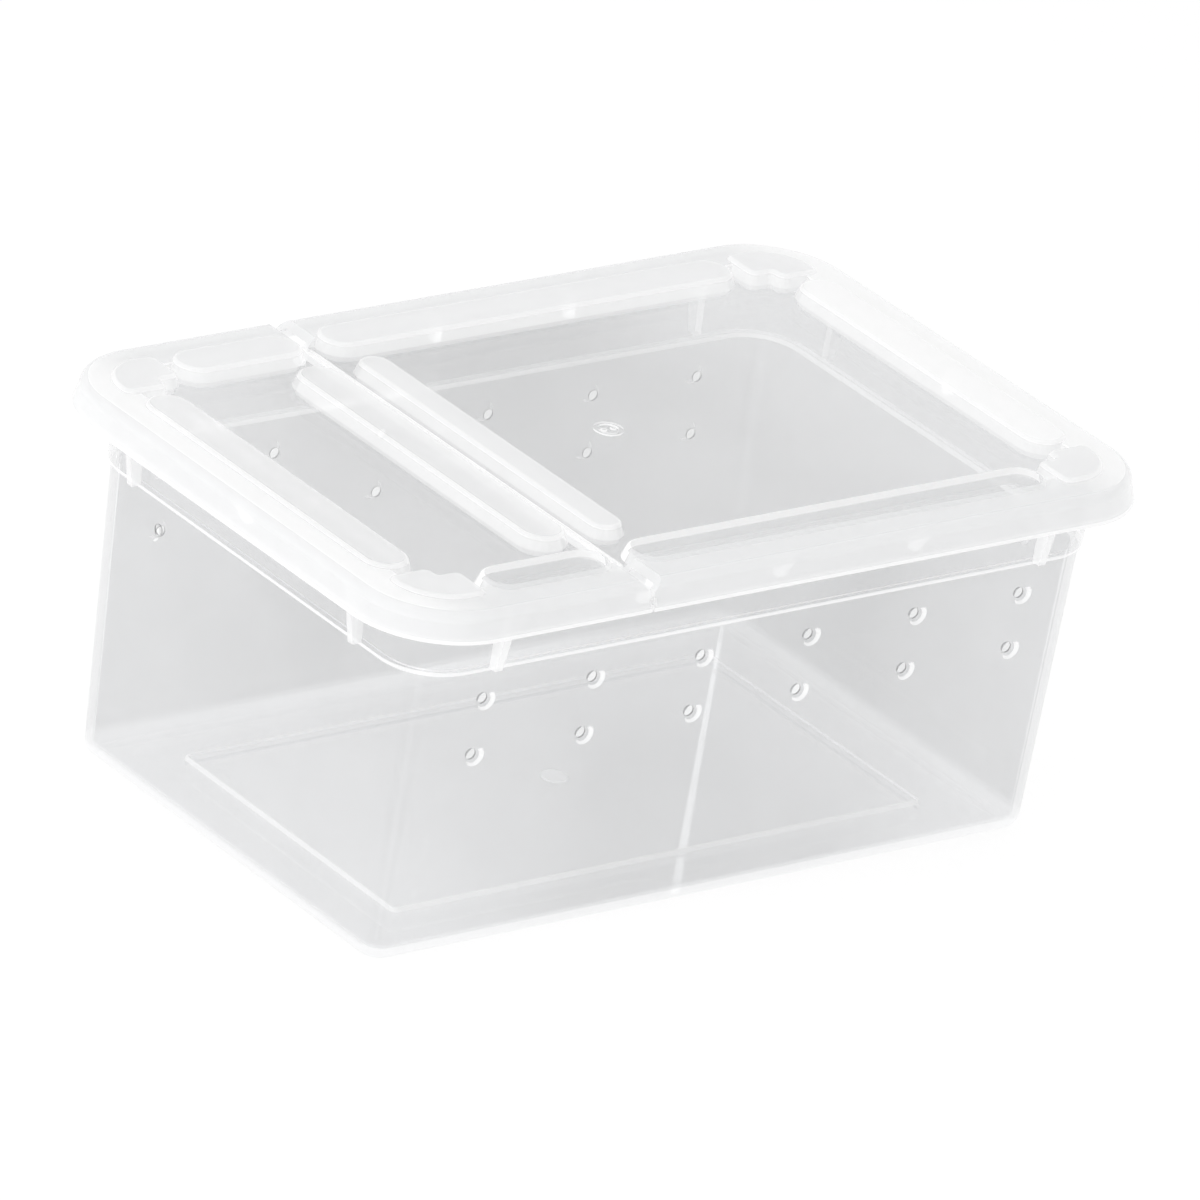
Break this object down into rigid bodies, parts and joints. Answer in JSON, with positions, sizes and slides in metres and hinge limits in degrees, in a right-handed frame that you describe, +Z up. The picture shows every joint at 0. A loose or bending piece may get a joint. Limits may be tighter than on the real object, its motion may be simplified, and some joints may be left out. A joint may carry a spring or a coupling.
{
  "type": "reptile feeding box",
  "caption": "Clear tapered plastic box with rows of air holes and a lift-off lid that has a fold-up flap on a film hinge.",
  "frame": {"origin": "centre of the standing ring under the tub's floor, on the plane it stands on", "axes": "+Z up, X along the long side with the flap at -X, Y along the short side with the pictured long wall at -Y"},
  "size_m": [0.1902, 0.1294, 0.0829],
  "materials": {
    "tub_plastic": "clear, glossy",
    "lid_plastic": "clear, slightly milky at the edges"
  },
  "bodies": {
    "tub": {"tub": "tub_plastic"},
    "lid": {"lid_cover": "lid_plastic", "film_hinge": "lid_plastic"},
    "flap": {"lid_flap": "lid_plastic"}
  },
  "joints": [
    {"name": "lid_lift", "type": "slide", "parent": "tub", "child": "lid", "axis": [0, 0, 1], "range_m": [0, 0.04]},
    {"name": "flap_hinge", "type": "hinge", "parent": "lid", "child": "flap", "pos_m": [-0.0368, 0, 0.0798], "axis": [0, 1, 0], "range_deg": [0, 90]}
  ]
}
